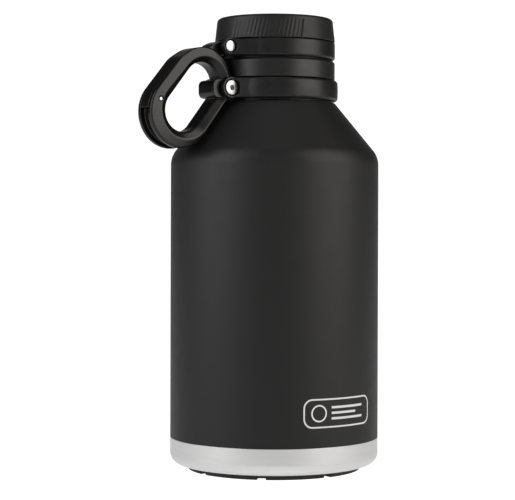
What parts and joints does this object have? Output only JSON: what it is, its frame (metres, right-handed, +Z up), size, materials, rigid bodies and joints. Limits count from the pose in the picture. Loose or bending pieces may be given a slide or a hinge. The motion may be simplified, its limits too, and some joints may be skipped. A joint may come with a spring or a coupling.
{
  "type": "growler",
  "caption": "Double-wall insulated growler: round flask with conical shoulder, screw cap and a side carrying loop on two neck bands.",
  "frame": {"origin": "centre of the foot pad's flat underside, on the flask's axis", "axes": "+Z up along the flask's axis; the carrying loop points along -X; both loop pins run along Y, with the screw and rivet heads at -Y"},
  "size_m": [0.152, 0.122, 0.2633],
  "materials": {
    "painted_steel": "matte black powder coat with fine texture",
    "bare_steel": "satin, brushed round the axis",
    "satin_plastic": "satin black moulded plastic",
    "loop_plastic": "semi-gloss black glass-filled plastic",
    "pin_steel": "polished stainless steel",
    "foot_rubber": "matte black rubber",
    "silicone": "translucent white silicone",
    "inner_plastic": "plain black moulded plastic",
    "foam": "cream insulating foam"
  },
  "bodies": {
    "flask": {"outer_shell": "painted_steel", "neck_sleeve": "bare_steel", "base_cup": "bare_steel", "inner_flask": "bare_steel", "threaded_neck": "bare_steel", "getter_pellet": "bare_steel", "sealing_disc": "bare_steel", "foot_pad": "foot_rubber", "neck_collar": "satin_plastic"},
    "loop_carrier": {"upper_band": "satin_plastic", "lower_band": "satin_plastic", "upper_rivet": "pin_steel", "rivet_collar": "pin_steel", "handle_screw": "pin_steel", "handle_nut": "pin_steel", "carry_loop": "loop_plastic", "grip_insert": "loop_plastic", "grip_pin": "pin_steel"},
    "cap_seal": {"cap_gasket": "silicone"},
    "cap": {"cap_knob": "satin_plastic", "cap_disc": "satin_plastic", "cap_plug": "inner_plastic", "cap_foam": "foam"}
  },
  "joints": [
    {"name": "loop_swivel", "type": "hinge", "parent": "flask", "child": "loop_carrier", "pos_m": [0, 0, 0.2327], "axis": [0, 0, 1], "continuous": true},
    {"name": "cap_lift", "type": "slide", "parent": "flask", "child": "cap_seal", "axis": [0, 0, 1], "range_m": [0, 0.0075]},
    {"name": "cap_turn", "type": "hinge", "parent": "cap_seal", "child": "cap", "pos_m": [0, 0, 0.2487], "axis": [0, 0, 1], "range_deg": [0, 540]}
  ],
  "couplings": [
    {"joint": "cap_lift", "follows": "cap_turn", "m_per_rad": 0.00079577}
  ]
}
